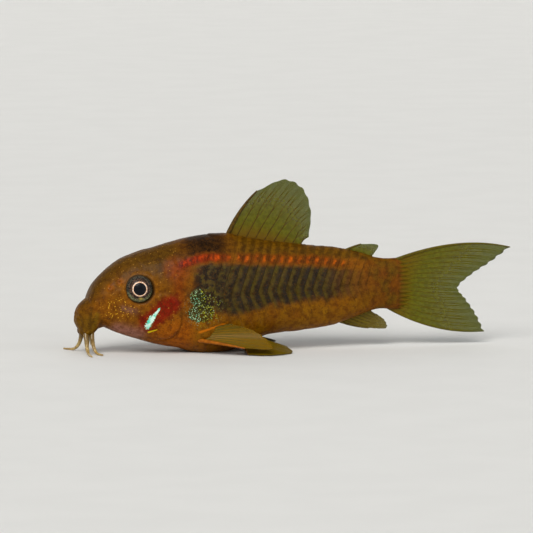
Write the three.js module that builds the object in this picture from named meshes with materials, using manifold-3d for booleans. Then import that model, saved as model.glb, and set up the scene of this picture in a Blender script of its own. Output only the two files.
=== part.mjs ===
// A corydoras catfish at life size, lying on its belly with its paired fins spread on the ground.
// Millimetres, +Z up. The fish faces -X and its left side is towards -Y.
// Lengths along the fish are measured back from the snout, and the group then moves the belly's rest to the origin.
import * as THREE from "three";
import { mergeVertices } from "three/addons/utils/BufferGeometryUtils.js";
import Module from "manifold-3d";

const wasm = await Module();
wasm.setup();

// Driving sizes
const LENGTH = 60; // snout to the root of the tail fin
const REST = 0.4 * LENGTH; // the middle of the belly's flat, behind the snout
const GAP = 0.3; // between pieces that touch
const LEFT = -1;
const RIGHT = 1;

// The back, the belly and the half width, each as shares of the length: how far behind the snout, and how large.
const BACK_LINE = [
  [0, 0.18], [0.048, 0.241], [0.105, 0.286], [0.165, 0.313], [0.215, 0.326], [0.27, 0.342], [0.33, 0.356],
  [0.42, 0.364], [0.46, 0.362], [0.56, 0.344], [0.69, 0.327], [0.815, 0.312], [0.88, 0.297], [0.945, 0.278], [1, 0.276],
];
const BELLY_LINE = [
  [0, 0.118], [0.03, 0.1], [0.085, 0.07], [0.147, 0.048], [0.21, 0.029], [0.29, 0.012],
  [0.35, -0.005], [0.44, -0.005], [0.5, 0.016], [0.56, 0.041], [0.69, 0.057], [0.8, 0.073],
  [0.87, 0.097], [0.935, 0.117], [1, 0.116],
];
const HALF_WIDTH = [
  [0, 0.05], [0.05, 0.07], [0.13, 0.094], [0.2, 0.107], [0.29, 0.118], [0.35, 0.121],
  [0.45, 0.115], [0.56, 0.099], [0.69, 0.078], [0.8, 0.057], [0.9, 0.037], [1, 0.018],
];
const NOSE_ROUND = 0.03 * LENGTH; // the length over which the snout rounds off
const NOSE_HEIGHT = 0.14 * LENGTH;
const WIDEST = 0.42; // how far up the body its widest line lies
const ROOF_POWER = 2.05; // the roundness of the section above that line
const KEEL_POWER = 2.7; // and below it, where the belly is flat and broad
const SIDES = 36;

// A smooth curve through [place, size] pairs given as shares of the length.
function curveThrough(pairs) {
  const xs = pairs.map(([x]) => x * LENGTH);
  const ys = pairs.map(([, y]) => y * LENGTH);
  const last = xs.length - 1;
  const chord = (i) => (ys[i + 1] - ys[i]) / (xs[i + 1] - xs[i]);
  const slope = xs.map((_, i) => {
    if (i === 0) return chord(0);
    if (i === last) return chord(last - 1);
    const before = xs[i] - xs[i - 1];
    const after = xs[i + 1] - xs[i];
    return (chord(i - 1) * after + chord(i) * before) / (before + after);
  });
  return (x) => {
    if (x <= xs[0]) return ys[0];
    if (x >= xs[last]) return ys[last];
    const i = xs.findIndex((_, k) => x < xs[k + 1]);
    const span = xs[i + 1] - xs[i];
    const t = (x - xs[i]) / span;
    const rise = ys[i + 1] - ys[i];
    return ys[i] + t * span * slope[i]
      + t * t * (3 * rise - span * (2 * slope[i] + slope[i + 1]))
      + t * t * t * (span * (slope[i] + slope[i + 1]) - 2 * rise);
  };
}
const back = curveThrough(BACK_LINE);
const belly = curveThrough(BELLY_LINE);
const halfWidth = curveThrough(HALF_WIDTH);

const smooth = (low, high, x) => {
  const t = Math.min(1, Math.max(0, (x - low) / (high - low)));
  return t * t * (3 - 2 * t);
};

// The body's section at a place behind the snout.
function sectionAt(x) {
  const near = Math.min(1, Math.max(0, x / NOSE_ROUND));
  const round = Math.sqrt(1 - (1 - near) ** 2);
  const top = NOSE_HEIGHT + (back(x) - NOSE_HEIGHT) * round;
  const bottom = NOSE_HEIGHT + (belly(x) - NOSE_HEIGHT) * round;
  return { top, bottom, half: halfWidth(x) * round, middle: bottom + WIDEST * (top - bottom) };
}

// How far the skin lies to the side of the middle plane, at a place and a height.
function skinAt(x, z) {
  const { top, bottom, half, middle } = sectionAt(x);
  const above = z > middle;
  const power = above ? ROOF_POWER : KEEL_POWER;
  const share = above ? (z - middle) / (top - middle) : (middle - z) / (middle - bottom);
  return half * Math.max(0, 1 - share ** power) ** (1 / power);
}

// The point of the skin at an angle round its section, pushed out by lift.
function pointOn(x, angle, lift) {
  const { top, bottom, half, middle } = sectionAt(x);
  const c = Math.cos(angle);
  const s = Math.sin(angle);
  const power = s > 0 ? ROOF_POWER : KEEL_POWER;
  const reach = s > 0 ? top - middle : middle - bottom;
  const y = half * Math.sign(c) * Math.abs(c) ** (2 / power);
  const z = middle + reach * Math.sign(s) * Math.abs(s) ** (2 / power);
  return new THREE.Vector3(x, y + lift * c, z + lift * s);
}

// An indexed geometry whose faces are turned to point out.
function geometryOf(points, triangles) {
  const volume = triangles.reduce((sum, [a, b, c]) => {
    return sum + points[a].dot(new THREE.Vector3().crossVectors(points[b], points[c]));
  }, 0);
  const faces = volume < 0 ? triangles.map(([a, b, c]) => [a, c, b]) : triangles;
  const geometry = new THREE.BufferGeometry().setFromPoints(points);
  geometry.setIndex(faces.flat());
  return geometry;
}

// A closed mesh from rings of points, with each end drawn to one point.
function loft(rings, start, end) {
  const count = rings[0].length;
  const points = [...rings.flat(), start, end];
  const triangles = [];
  const at = (i, j) => i * count + (j % count);
  for (let i = 0; i + 1 < rings.length; i++) {
    for (let j = 0; j < count; j++) {
      triangles.push([at(i, j), at(i + 1, j), at(i + 1, j + 1)]);
      triangles.push([at(i, j), at(i + 1, j + 1), at(i, j + 1)]);
    }
  }
  for (let j = 0; j < count; j++) {
    triangles.push([points.length - 2, at(0, j), at(0, j + 1)]);
    triangles.push([points.length - 1, at(rings.length - 1, j + 1), at(rings.length - 1, j)]);
  }
  return geometryOf(points, triangles);
}

// A manifold-3d solid from a closed three.js geometry.
function solid(geometry) {
  const plain = geometry.clone();
  plain.deleteAttribute("normal");
  plain.deleteAttribute("uv");
  const merged = mergeVertices(plain, 1e-4);
  return new wasm.Manifold(new wasm.Mesh({
    numProp: 3,
    vertProperties: new Float32Array(merged.attributes.position.array),
    triVerts: new Uint32Array(merged.index.array),
  }));
}

const largest = (shape) => shape.decompose().reduce((a, b) => (b.volume() > a.volume() ? b : a));

function boxSolid(low, high) {
  const size = high.map((end, axis) => end - low[axis]);
  const box = new THREE.BoxGeometry(...size);
  box.translate(...low.map((start, axis) => start + size[axis] / 2));
  return solid(box);
}
const FAR = 3 * LENGTH; // well past the whole fish
const underGround = boxSolid([-FAR, -FAR, -FAR], [FAR, FAR, 0]);
const onGround = (shape) => shape.subtract(underGround);
const slice = (from, to) => boxSolid([from, -FAR, -FAR], [to, FAR, FAR]);

// The armour: two rows of plates a side. Each plate's free rear edge stands over the next plate, and the two rows'
// edges make chevrons that point at the head. The plates fade out towards the smooth belly.
const SCUTES = 22;
const SCUTE_FIRST = 0.325 * LENGTH;
const SCUTE_LAST = 0.985 * LENGTH;
const SCUTE_STEP = 0.24; // how far each rear edge stands over the next plate
const SCUTE_EDGE = 0.26; // the length of that drop
const SCUTE_SLANT = 0.42; // how far an edge runs back for each millimetre away from the seam
const SLANT_FADE_IN = [SCUTE_FIRST - 2, SCUTE_FIRST + 5];
const SLANT_FADE_OUT = [LENGTH - 9, LENGTH];
const BARE_BELLY = [0.1, 0.32]; // the heights on the body between which the plates rise
const SEAM_HEIGHT = 0.5; // the height on the body where the two rows meet
const SEAM_DEPTH = 0.16;
const SEAM_SIDES = [0.2, 1.3]; // the groove's floor and its rim, away from the seam

// One ring of the body's skin. rise is 1 at a plate's rear edge and 0 at its root.
function ring(x, rise, grow) {
  const { top, bottom } = sectionAt(x);
  const seam = bottom + SEAM_HEIGHT * (top - bottom);
  const armour = smooth(...SLANT_FADE_IN, x) * (1 - smooth(...SLANT_FADE_OUT, x));
  return Array.from({ length: SIDES }, (_, j) => {
    const angle = (2 * Math.PI * j) / SIDES;
    const { z } = pointOn(x, angle, 0);
    const fromSeam = Math.abs(z - seam);
    const plated = smooth(...BARE_BELLY, (z - bottom) / (top - bottom));
    const groove = SEAM_DEPTH * armour * (1 - smooth(...SEAM_SIDES, fromSeam));
    return pointOn(x + SCUTE_SLANT * armour * fromSeam, angle, grow + SCUTE_STEP * rise * plated - groove);
  });
}

// The whole skin, from the snout to the tail's root, swollen or shrunk by grow.
const HEAD_RINGS = [0.002, 0.008, 0.02, 0.042, 0.075, 0.11, 0.15, 0.19, 0.23, 0.27, 0.3];
function bodySkin(grow) {
  const rings = HEAD_RINGS.map((share) => ring(share * LENGTH, 0, grow));
  const pitch = (SCUTE_LAST - SCUTE_FIRST) / SCUTES;
  for (let i = 0; i < SCUTES; i++) {
    const root = SCUTE_FIRST + i * pitch;
    rings.push(ring(root, 0, grow));
    rings.push(ring(root + pitch - SCUTE_EDGE, 1, grow));
  }
  const beyond = Math.max(0, grow);
  rings.push(ring(SCUTE_LAST, 0, grow));
  rings.push(ring(LENGTH + beyond, 0, grow));
  const { top, bottom } = sectionAt(LENGTH);
  const nose = new THREE.Vector3(-beyond, 0, NOSE_HEIGHT);
  const root = new THREE.Vector3(LENGTH + beyond, 0, (top + bottom) / 2);
  return solid(loft(rings, nose, root));
}
const body = onGround(bodySkin(0));
const around = bodySkin(GAP);

// Head, trunk and tail stem, parted by thin upright cuts.
const HEAD_END = 0.305 * LENGTH;
const STEM_START = 0.82 * LENGTH;
let head = body.intersect(slice(-FAR, HEAD_END - GAP / 2));
let trunk = body.intersect(slice(HEAD_END + GAP / 2, STEM_START - GAP / 2));
const stem = body.intersect(slice(STEM_START + GAP / 2, FAR));

// Bony plates that stand a little proud of the skin: an oval prism across the body gives each plate's outline.
const PLATE_RISE = 0.22;
const raised = bodySkin(PLATE_RISE);
const widestHalf = Math.max(...HALF_WIDTH.map(([, half]) => half)) * LENGTH;
const ovalPrism = (halfLength, halfHeight, lean, depth) => {
  const outline = new THREE.Shape().absellipse(0, 0, halfLength, halfHeight, 0, 2 * Math.PI, false, lean);
  return new THREE.ExtrudeGeometry(outline, { depth, bevelEnabled: false, curveSegments: 9 });
};
function sidePrism(side, { x, z, halfLength, halfHeight, lean }, extra = 0) {
  const prism = ovalPrism(halfLength + extra, halfHeight + extra, lean, 2 * widestHalf);
  prism.rotateX(Math.PI / 2);
  prism.translate(x, side > 0 ? 2 * widestHalf + 1 : -1, z);
  return solid(prism);
}

// Gill covers: thin rounded flaps, each let into a shallow pocket of the head, and clear of the eye's cup.
const GILL_COVER = { x: 0.236 * LENGTH, z: 0.122 * LENGTH, halfLength: 3.1, halfHeight: 4.5, lean: 0.12 };
const COVER_THICK = 1;
const underCover = bodySkin(-COVER_THICK);
const underPocket = bodySkin(-COVER_THICK - GAP);
function gillCover(side) {
  head = head.subtract(sidePrism(side, GILL_COVER, GAP).subtract(underPocket));
  const cover = raised.intersect(sidePrism(side, GILL_COVER)).subtract(underCover);
  return largest(onGround(cover.subtract(eyeCup(side))));
}

// Shoulder plates: the bony collar behind each gill opening, raised on the trunk.
const SHOULDER = { x: 0.35 * LENGTH, z: 0.1 * LENGTH, halfLength: 1.9, halfHeight: 6.2, lean: 0.1 };
const behindHead = slice(HEAD_END + GAP / 2, STEM_START - GAP / 2);
function addShoulder(side) {
  const plate = raised.intersect(sidePrism(side, SHOULDER)).intersect(behindHead);
  trunk = onGround(trunk.add(plate));
}

// The neck plate: a bony saddle over the back, at the foot of the back fin's spine.
const NECK_PLATE = { x: 0.435 * LENGTH, halfLength: 2.6, halfWidth: 2.3 };
function addNeckPlate() {
  const prism = ovalPrism(NECK_PLATE.halfLength, NECK_PLATE.halfWidth, 0, LENGTH);
  prism.translate(NECK_PLATE.x, 0, sectionAt(NECK_PLATE.x).middle);
  trunk = trunk.add(raised.intersect(solid(prism)));
}

// Eyes: a ball in a cup of the head.
const EYE = { x: 0.162 * LENGTH, z: 0.205 * LENGTH };
const EYE_RADIUS = 0.05 * LENGTH;
const EYE_SINK = 1.9; // from the skin to the middle of the eyeball
function ball(centre, radius, around_, down) {
  const sphere = new THREE.SphereGeometry(radius, around_, down);
  sphere.rotateX(Math.PI / 2);
  sphere.translate(...centre);
  return solid(sphere);
}
const eyeCentre = (side) => [EYE.x, side * (skinAt(EYE.x, EYE.z) - EYE_SINK), EYE.z];
const eyeCup = (side) => ball(eyeCentre(side), EYE_RADIUS + GAP, 20, 12);
function eye(side) {
  head = head.subtract(eyeCup(side));
  return ball(eyeCentre(side), EYE_RADIUS, 20, 12);
}

// Nostrils: two shallow pits a side, in front of the eye, with a low flap of skin between them.
const NOSTRILS = [{ x: 0.102 * LENGTH, z: 0.228 * LENGTH }, { x: 0.072 * LENGTH, z: 0.21 * LENGTH }];
const NOSTRIL_RADIUS = 0.42;
const onSkin = (side, { x, z }) => [x, side * skinAt(x, z), z];
function makeNostrils(side) {
  const flap = { x: (NOSTRILS[0].x + NOSTRILS[1].x) / 2, z: (NOSTRILS[0].z + NOSTRILS[1].z) / 2 };
  head = head.add(ball(onSkin(side, flap), NOSTRIL_RADIUS, 8, 6));
  NOSTRILS.forEach((pit) => {
    head = head.subtract(ball(onSkin(side, pit), NOSTRIL_RADIUS, 8, 6));
  });
}

// A round feeler that tapers along a curve.
function feeler(points, thick, thin) {
  const path = new THREE.CatmullRomCurve3(points.map((p) => new THREE.Vector3(...p)));
  const steps = 12;
  const count = 8;
  const { normals, binormals } = path.computeFrenetFrames(steps, false);
  const rings = Array.from({ length: steps + 1 }, (_, i) => {
    const middle = path.getPointAt(i / steps);
    const radius = (thick + (thin - thick) * (i / steps)) / 2;
    return Array.from({ length: count }, (__, j) => {
      const angle = (2 * Math.PI * j) / count;
      return middle.clone()
        .addScaledVector(normals[i], radius * Math.cos(angle))
        .addScaledVector(binormals[i], radius * Math.sin(angle));
    });
  });
  return solid(loft(rings, path.getPointAt(0), path.getPointAt(1)));
}

// Lips: a fleshy collar that hangs from the snout, parted by the line of the mouth, with two stubs under the chin.
const LIP_TOP = 0.163 * LENGTH;
const LIP_BOTTOM = 0.052 * LENGTH;
const LIP_RINGS = [
  { down: 0, x: 0.9, deep: 1.1, wide: 1.4 },
  { down: 0.1, x: 0.2, deep: 1.5, wide: 2.1 },
  { down: 0.28, x: 0.1, deep: 1.9, wide: 2.6 },
  { down: 0.5, x: 0.1, deep: 1.85, wide: 2.8 },
  { down: 0.75, x: 0.3, deep: 1.6, wide: 2.8 },
  { down: 0.92, x: 0.4, deep: 1.3, wide: 2.7 },
  { down: 1, x: 0.5, deep: 0.8, wide: 2.2 },
];
const MOUTH = { x: 0.5, gape: 0.4, halfWidth: 2.1, depth: 1.1 };
const CHIN_STUB = { x: 1.4, y: 1, length: 2.2, splay: 0.7 };
const CHIN_THICK = 0.6;
function lips() {
  const count = 18;
  const rings = LIP_RINGS.map(({ down, x, deep, wide }) => Array.from({ length: count }, (_, j) => {
    const angle = (2 * Math.PI * j) / count;
    const z = LIP_TOP + (LIP_BOTTOM - LIP_TOP) * down;
    return new THREE.Vector3(x + deep * Math.cos(angle), wide * Math.sin(angle), z);
  }));
  const [first, last] = [LIP_RINGS[0], LIP_RINGS[LIP_RINGS.length - 1]];
  const top = new THREE.Vector3(first.x, 0, LIP_TOP + 0.1);
  const bottom = new THREE.Vector3(last.x, 0, LIP_BOTTOM - 0.1);
  const mouth = boxSolid(
    [MOUTH.x - MOUTH.gape / 2, -MOUTH.halfWidth, LIP_BOTTOM - 1],
    [MOUTH.x + MOUTH.gape / 2, MOUTH.halfWidth, LIP_BOTTOM + MOUTH.depth],
  );
  let flesh = solid(loft(rings, top, bottom)).subtract(mouth);
  [LEFT, RIGHT].forEach((side) => {
    const { x, y, length, splay } = CHIN_STUB;
    const path = [0, 0.35, 0.7, 1].map((t) => [x + 0.3 * t, side * (y + splay * t * t), LIP_BOTTOM + 0.5 - length * t]);
    flesh = flesh.add(feeler(path, CHIN_THICK, CHIN_THICK / 2));
  });
  return largest(flesh.subtract(around));
}

// Feelers: a long and a short one at each corner of the mouth, which hang to the ground and lie out to the side.
const BARBEL = 0.85;
const BARBEL_TIP = 0.3;
const LIE = 0.2; // the height of a feeler's middle where it lies on the ground
const FEELERS = {
  barbel_long_left: { side: LEFT, root: [0, 2.7, 2.75], reach: 4.6, sweep: 0.2 },
  barbel_long_right: { side: RIGHT, root: [0, 2.7, 2.75], reach: 4, sweep: -2.6 },
  barbel_short_left: { side: LEFT, root: [1.2, 2.3, 2.9], reach: 3.2, sweep: 1.4 },
  barbel_short_right: { side: RIGHT, root: [1.2, 2.3, 2.9], reach: 3.2, sweep: 0.2 },
};
function feelerPath({ side, root: [x, y, z], reach, sweep }) {
  const stations = [
    { out: 0, down: 0 }, { out: 0.1, down: 0.45 }, { out: 0.32, down: 0.86 }, { out: 0.64, down: 1 }, { out: 1, down: 1 },
  ];
  return stations.map(({ out, down }) => [x + sweep * out, side * (y + reach * out), z - (z - LIE) * down]);
}

// Fins: a thin sheet between a root on the body and a free edge, with its rays as ridges on both faces.
const MEMBRANE = 0.5;
const RAY = 0.85;
const SPINE = 1.3;
function fin({ root, edge, rays, bow, face = [0, 1, 0], spine = SPINE, ray = RAY, rows = 7 }) {
  const rootCurve = new THREE.CatmullRomCurve3(root.map((p) => new THREE.Vector3(...p)));
  const edgeCurve = new THREE.CatmullRomCurve3(edge.map((p) => new THREE.Vector3(...p)));
  const normal = new THREE.Vector3(...face).normalize();
  const columns = 2 * rays - 1;
  const front = [];
  const rear = [];
  for (let i = 0; i < columns; i++) {
    const s = i / (columns - 1);
    const foot = rootCurve.getPoint(s);
    const tip = edgeCurve.getPoint(s);
    const bend = new THREE.Vector3(...bow(s));
    for (let k = 0; k < rows; k++) {
      const t = k / (rows - 1);
      const point = foot.clone().lerp(tip, t).addScaledVector(bend, 2 * t * (1 - t));
      const ridge = i === 0 ? spine : ray;
      const full = i % 2 === 0 ? MEMBRANE + (ridge - MEMBRANE) * (1 - 0.75 * t) : MEMBRANE;
      const half = (full / 2) * (1 - 0.35 * smooth(0.75, 1, t));
      front.push(point.clone().addScaledVector(normal, half));
      rear.push(point.clone().addScaledVector(normal, -half));
    }
  }
  const size = front.length;
  const at = (i, k) => i * rows + k;
  const triangles = [];
  const quad = (a, b, c, d) => triangles.push([a, b, c], [a, c, d]);
  for (let i = 0; i + 1 < columns; i++) {
    for (let k = 0; k + 1 < rows; k++) {
      const [a, b, c, d] = [at(i, k), at(i + 1, k), at(i + 1, k + 1), at(i, k + 1)];
      quad(a, b, c, d);
      triangles.push([size + a, size + c, size + b], [size + a, size + d, size + c]);
    }
    quad(at(i, 0), size + at(i, 0), size + at(i + 1, 0), at(i + 1, 0));
    quad(at(i + 1, rows - 1), size + at(i + 1, rows - 1), size + at(i, rows - 1), at(i, rows - 1));
  }
  for (let k = 0; k + 1 < rows; k++) {
    quad(at(0, k + 1), size + at(0, k + 1), size + at(0, k), at(0, k));
    const i = columns - 1;
    quad(at(i, k), size + at(i, k), size + at(i, k + 1), at(i, k + 1));
  }
  return solid(geometryOf([...front, ...rear], triangles));
}
const offBody = (shape) => largest(onGround(shape.subtract(around)));

// Roots follow the body and start a little inside it. Free edges are shares of the length.
const ROOT_SINK = 0.9;
const onBack = (places) => places.map((x) => [x * LENGTH, 0, back(x * LENGTH) - ROOT_SINK]);
const onBelly = (places) => places.map((x) => [x * LENGTH, 0, belly(x * LENGTH) + ROOT_SINK]);
const onFlank = (side, places) => places.map(([x, z]) => {
  return [x * LENGTH, side * (skinAt(x * LENGTH, z * LENGTH) - ROOT_SINK), z * LENGTH];
});
const inMiddle = (points) => points.map(([x, z]) => [x * LENGTH, 0, z * LENGTH]);
const toSide = (side, points) => points.map(([x, y, z]) => [x * LENGTH, side * y * LENGTH, z * LENGTH]);

const dorsalFin = () => offBody(fin({
  root: onBack([0.453, 0.567, 0.687]),
  edge: inMiddle([[0.553, 0.498], [0.643, 0.533], [0.7, 0.503], [0.725, 0.43], [0.717, 0.348]]),
  rays: 9,
  bow: (s) => [-0.9 + 0.3 * s, 0, 0.9 - 0.3 * s],
}));

const adiposeFin = () => offBody(fin({
  root: onBack([0.82, 0.867, 0.913]),
  edge: inMiddle([[0.885, 0.323], [0.942, 0.318], [0.925, 0.29]]),
  rays: 3,
  bow: () => [-0.2, 0, 0.2],
  spine: 1,
}));

const tailFin = () => {
  const { top, bottom } = sectionAt(LENGTH);
  const inside = LENGTH - ROOT_SINK / 2;
  return offBody(fin({
    root: [[inside, 0, top - 0.4], [inside, 0, (top + bottom) / 2], [inside - 2, 0, belly(inside - 2) + 0.4]],
    edge: inMiddle([
      [1.37, 0.302], [1.305, 0.256], [1.243, 0.218], [1.2, 0.177], [1.225, 0.143], [1.26, 0.093], [1.287, 0.038],
    ]),
    rays: 14,
    bow: (s) => [1.1 * (1 - s) ** 2, 0, 3.5 * (1 - s) ** 3 - 3.3 * s ** 3],
    spine: 1.1,
    rows: 8,
  }));
};

const analFin = () => offBody(fin({
  root: onBelly([0.8, 0.85, 0.907]),
  edge: inMiddle([[0.91, 0.057], [0.97, 0.057], [0.963, 0.08], [0.937, 0.1]]),
  rays: 7,
  bow: () => [-0.3, 0, -0.5],
  spine: 1,
}));

const pectoralFin = (side) => offBody(fin({
  root: onFlank(side, [[0.327, 0.045], [0.353, 0.07]]),
  edge: toSide(side, [
    [0.473, 0.19, 0.025], [0.56, 0.215, 0.025], [0.547, 0.183, 0.05], [0.507, 0.157, 0.077], [0.44, 0.137, 0.097],
  ]),
  rays: 8,
  bow: (s) => [0, side * 0.5 * (1 - s), 0.2],
  face: [-0.31, side * 0.8, 0.52],
}));

const pelvicFin = (side) => offBody(fin({
  root: onFlank(side, [[0.49, 0.03], [0.533, 0.04]]),
  edge: toSide(side, [
    [0.487, 0.177, 0.003], [0.537, 0.207, 0.003], [0.593, 0.193, 0.003], [0.637, 0.143, 0.003], [0.63, 0.083, 0.015],
  ]),
  rays: 7,
  bow: () => [0, 0, 0.25],
  face: [0.1, side * 0.25, 1],
  spine: 0.9,
  ray: 0.8,
}));

const MATERIALS = {
  skin: new THREE.MeshStandardMaterial({ color: 0x6b4a10, roughness: 0.4, metalness: 0 }),
  armour: new THREE.MeshStandardMaterial({ color: 0x4a4430, roughness: 0.35, metalness: 0.1 }),
  cheek: new THREE.MeshStandardMaterial({ color: 0x7a2a10, roughness: 0.3, metalness: 0.1 }),
  eye: new THREE.MeshStandardMaterial({ color: 0x0a0a10, roughness: 0.1, metalness: 0 }),
  fin: new THREE.MeshStandardMaterial({ color: 0x6f6a10, roughness: 0.4, metalness: 0 }),
  feeler: new THREE.MeshStandardMaterial({ color: 0xb59a50, roughness: 0.4, metalness: 0 }),
};

const fish = new THREE.Group();
fish.position.x = -REST;
function addNode(name, shape, material) {
  const { numProp, vertProperties, triVerts } = shape.getMesh();
  const positions = new Float32Array((vertProperties.length / numProp) * 3);
  for (let i = 0; i < positions.length / 3; i++) {
    positions.set(vertProperties.subarray(i * numProp, i * numProp + 3), i * 3);
  }
  const geometry = new THREE.BufferGeometry();
  geometry.setAttribute("position", new THREE.BufferAttribute(positions, 3));
  geometry.setIndex(new THREE.BufferAttribute(new Uint32Array(triVerts), 1));
  geometry.computeVertexNormals();
  const mesh = new THREE.Mesh(geometry, material);
  mesh.name = name;
  fish.add(mesh);
}

addNeckPlate();
[[LEFT, "left"], [RIGHT, "right"]].forEach(([side, word]) => {
  addNode(`eye_${word}`, eye(side), MATERIALS.eye);
  addNode(`gill_cover_${word}`, gillCover(side), MATERIALS.cheek);
  makeNostrils(side);
  addShoulder(side);
  addNode(`pectoral_fin_${word}`, pectoralFin(side), MATERIALS.fin);
  addNode(`pelvic_fin_${word}`, pelvicFin(side), MATERIALS.fin);
});
addNode("head", largest(head), MATERIALS.skin);
addNode("trunk", largest(trunk), MATERIALS.armour);
addNode("tail_stem", largest(stem), MATERIALS.armour);
const lipCollar = lips();
addNode("lips", lipCollar, MATERIALS.skin);
addNode("dorsal_fin", dorsalFin(), MATERIALS.fin);
addNode("adipose_fin", adiposeFin(), MATERIALS.fin);
addNode("tail_fin", tailFin(), MATERIALS.fin);
addNode("anal_fin", analFin(), MATERIALS.fin);
Object.entries(FEELERS).forEach(([name, shape]) => {
  const whole = feeler(feelerPath(shape), BARBEL, BARBEL_TIP);
  addNode(name, largest(onGround(whole.subtract(lipCollar).subtract(around))), MATERIALS.feeler);
});

export default fish;
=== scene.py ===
import math

import bmesh
import bpy
import numpy as np
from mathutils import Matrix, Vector, noise


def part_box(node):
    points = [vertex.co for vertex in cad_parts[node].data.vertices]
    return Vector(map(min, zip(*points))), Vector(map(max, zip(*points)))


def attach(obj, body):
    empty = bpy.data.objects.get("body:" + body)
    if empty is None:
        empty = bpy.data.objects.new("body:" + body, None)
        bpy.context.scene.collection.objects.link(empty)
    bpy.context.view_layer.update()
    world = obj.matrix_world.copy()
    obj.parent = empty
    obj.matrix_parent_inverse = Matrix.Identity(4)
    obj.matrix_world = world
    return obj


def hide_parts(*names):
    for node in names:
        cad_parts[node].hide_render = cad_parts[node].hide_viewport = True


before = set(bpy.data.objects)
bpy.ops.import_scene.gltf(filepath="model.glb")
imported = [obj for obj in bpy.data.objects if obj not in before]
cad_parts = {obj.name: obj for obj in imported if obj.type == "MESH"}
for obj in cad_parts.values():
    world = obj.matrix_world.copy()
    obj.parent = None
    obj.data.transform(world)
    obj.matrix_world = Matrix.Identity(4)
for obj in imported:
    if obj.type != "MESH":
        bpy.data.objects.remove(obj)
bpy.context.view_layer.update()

# Camera. It looks at the fish's left side from a little ahead of it and a little above, through a long lens,
# so that the whole fish fills most of the frame's width with room above and below.
MM = 0.001
CAMERA_AZIMUTH = math.radians(-12)
CAMERA_HEIGHT = math.radians(6)
CAMERA_AWAY = 1200 * MM
AIM = Vector((10.9, 0, 15.5)) * MM
LENS = 432
SENSOR = 36
CLIP_NEAR = 100 * MM
CLIP_FAR = 20
towards_camera = Vector((
    math.sin(CAMERA_AZIMUTH) * math.cos(CAMERA_HEIGHT),
    -math.cos(CAMERA_AZIMUTH) * math.cos(CAMERA_HEIGHT),
    math.sin(CAMERA_HEIGHT),
))
lens = bpy.data.cameras.new("camera")
lens.lens = LENS
lens.sensor_width = SENSOR
lens.clip_start = CLIP_NEAR
lens.clip_end = CLIP_FAR
camera = bpy.data.objects.new("camera", lens)
camera.location = AIM + towards_camera * CAMERA_AWAY
camera.rotation_euler = (-towards_camera).to_track_quat("-Z", "Y").to_euler()
bpy.context.scene.collection.objects.link(camera)
bpy.context.scene.camera = camera
bpy.context.scene.view_settings.view_transform = "Standard"

# Floor. A plain pale sheet of matt card, flat under the fish and curved up far behind it, where no edge
# shows. It stands in for the studio's table and is no part of the model.
FLOOR_SIDE = 4000 * MM
FLOOR_BACK = 2600 * MM  # how far behind the fish the curve starts
FLOOR_BEND = 800 * MM
FLOOR_STEPS = 24
CARD_GRAIN = 14 * MM


class Finish:
    """One material's node tree, with short calls for the nodes that the finishes share."""

    def __init__(self, name):
        self.material = bpy.data.materials.new(name)
        self.material.use_nodes = True
        self.nodes = self.material.node_tree.nodes
        self.links = self.material.node_tree.links
        self.nodes.clear()
        self.place = self.node("ShaderNodeTexCoord").outputs["Object"]

    def node(self, kind, settings=(), **inputs):
        made = self.nodes.new(kind)
        for name, value in dict(settings).items():
            setattr(made, name, value)
        for name, value in inputs.items():
            self.put(value, made.inputs[name.replace("_", " ")])
        return made

    def put(self, value, socket):
        """A link, a value, or a colour named by its red, green and blue from 0 to 255."""
        if isinstance(value, bpy.types.NodeSocket):
            self.links.new(value, socket)
        elif socket.type == "RGBA" and len(value) == 3:
            socket.default_value = colour(*value)
        else:
            socket.default_value = value

    def mask(self, name):
        return self.node("ShaderNodeAttribute", {"attribute_name": name}).outputs["Fac"]

    def mix(self, share, first, second, blend="MIX"):
        made = self.node("ShaderNodeMix", {"data_type": "RGBA", "blend_type": blend})
        self.put(share, made.inputs["Factor"])
        self.put(first, made.inputs[6])
        self.put(second, made.inputs[7])
        return made.outputs[2]

    def sum(self, operation, first, second=0.0):
        made = self.node("ShaderNodeMath", {"operation": operation})
        self.put(first, made.inputs[0])
        self.put(second, made.inputs[1])
        return made.outputs[0]

    def times(self, first, second):
        return self.sum("MULTIPLY", first, second)

    def ramp(self, source, low, high, start=0.0, end=1.0):
        made = self.node("ShaderNodeMapRange", {"interpolation_type": "SMOOTHSTEP"})
        for name, value in (("Value", source), ("From Min", low), ("From Max", high),
                            ("To Min", start), ("To Max", end)):
            self.put(value, made.inputs[name])
        return made.outputs["Result"]

    def cloud(self, size, detail=3.0, stretch=(1, 1, 1)):
        """Soft noise, from 0 to 1, whose lumps are about size long."""
        moved = self.node("ShaderNodeMapping", Vector=self.place, Scale=stretch)
        made = self.node("ShaderNodeTexNoise", Vector=moved.outputs["Vector"], Scale=1 / size, Detail=detail)
        return made.outputs["Fac"]

    def cells(self, size, seed=0.0):
        """How far a point is from its cell's middle, and the cell's random number, from 0 to 1."""
        moved = self.node("ShaderNodeMapping", Vector=self.place, Location=(seed, seed, seed))
        made = self.node("ShaderNodeTexVoronoi", Vector=moved.outputs["Vector"], Scale=1 / size)
        return made.outputs["Distance"], made.outputs["Color"]

    def bump(self, height, depth):
        made = self.node("ShaderNodeBump", Height=height, Distance=depth)
        return made.outputs["Normal"]

    def surface(self, **inputs):
        shader = self.node("ShaderNodeBsdfPrincipled", **inputs)
        self.node("ShaderNodeOutputMaterial", Surface=shader.outputs["BSDF"])
        return self.material


def colour(red, green, blue):
    """A colour's values from 0 to 255, as the linear colour that a shader takes."""
    return tuple(((value / 255 + 0.055) / 1.055) ** 2.4 for value in (red, green, blue)) + (1.0,)


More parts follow.
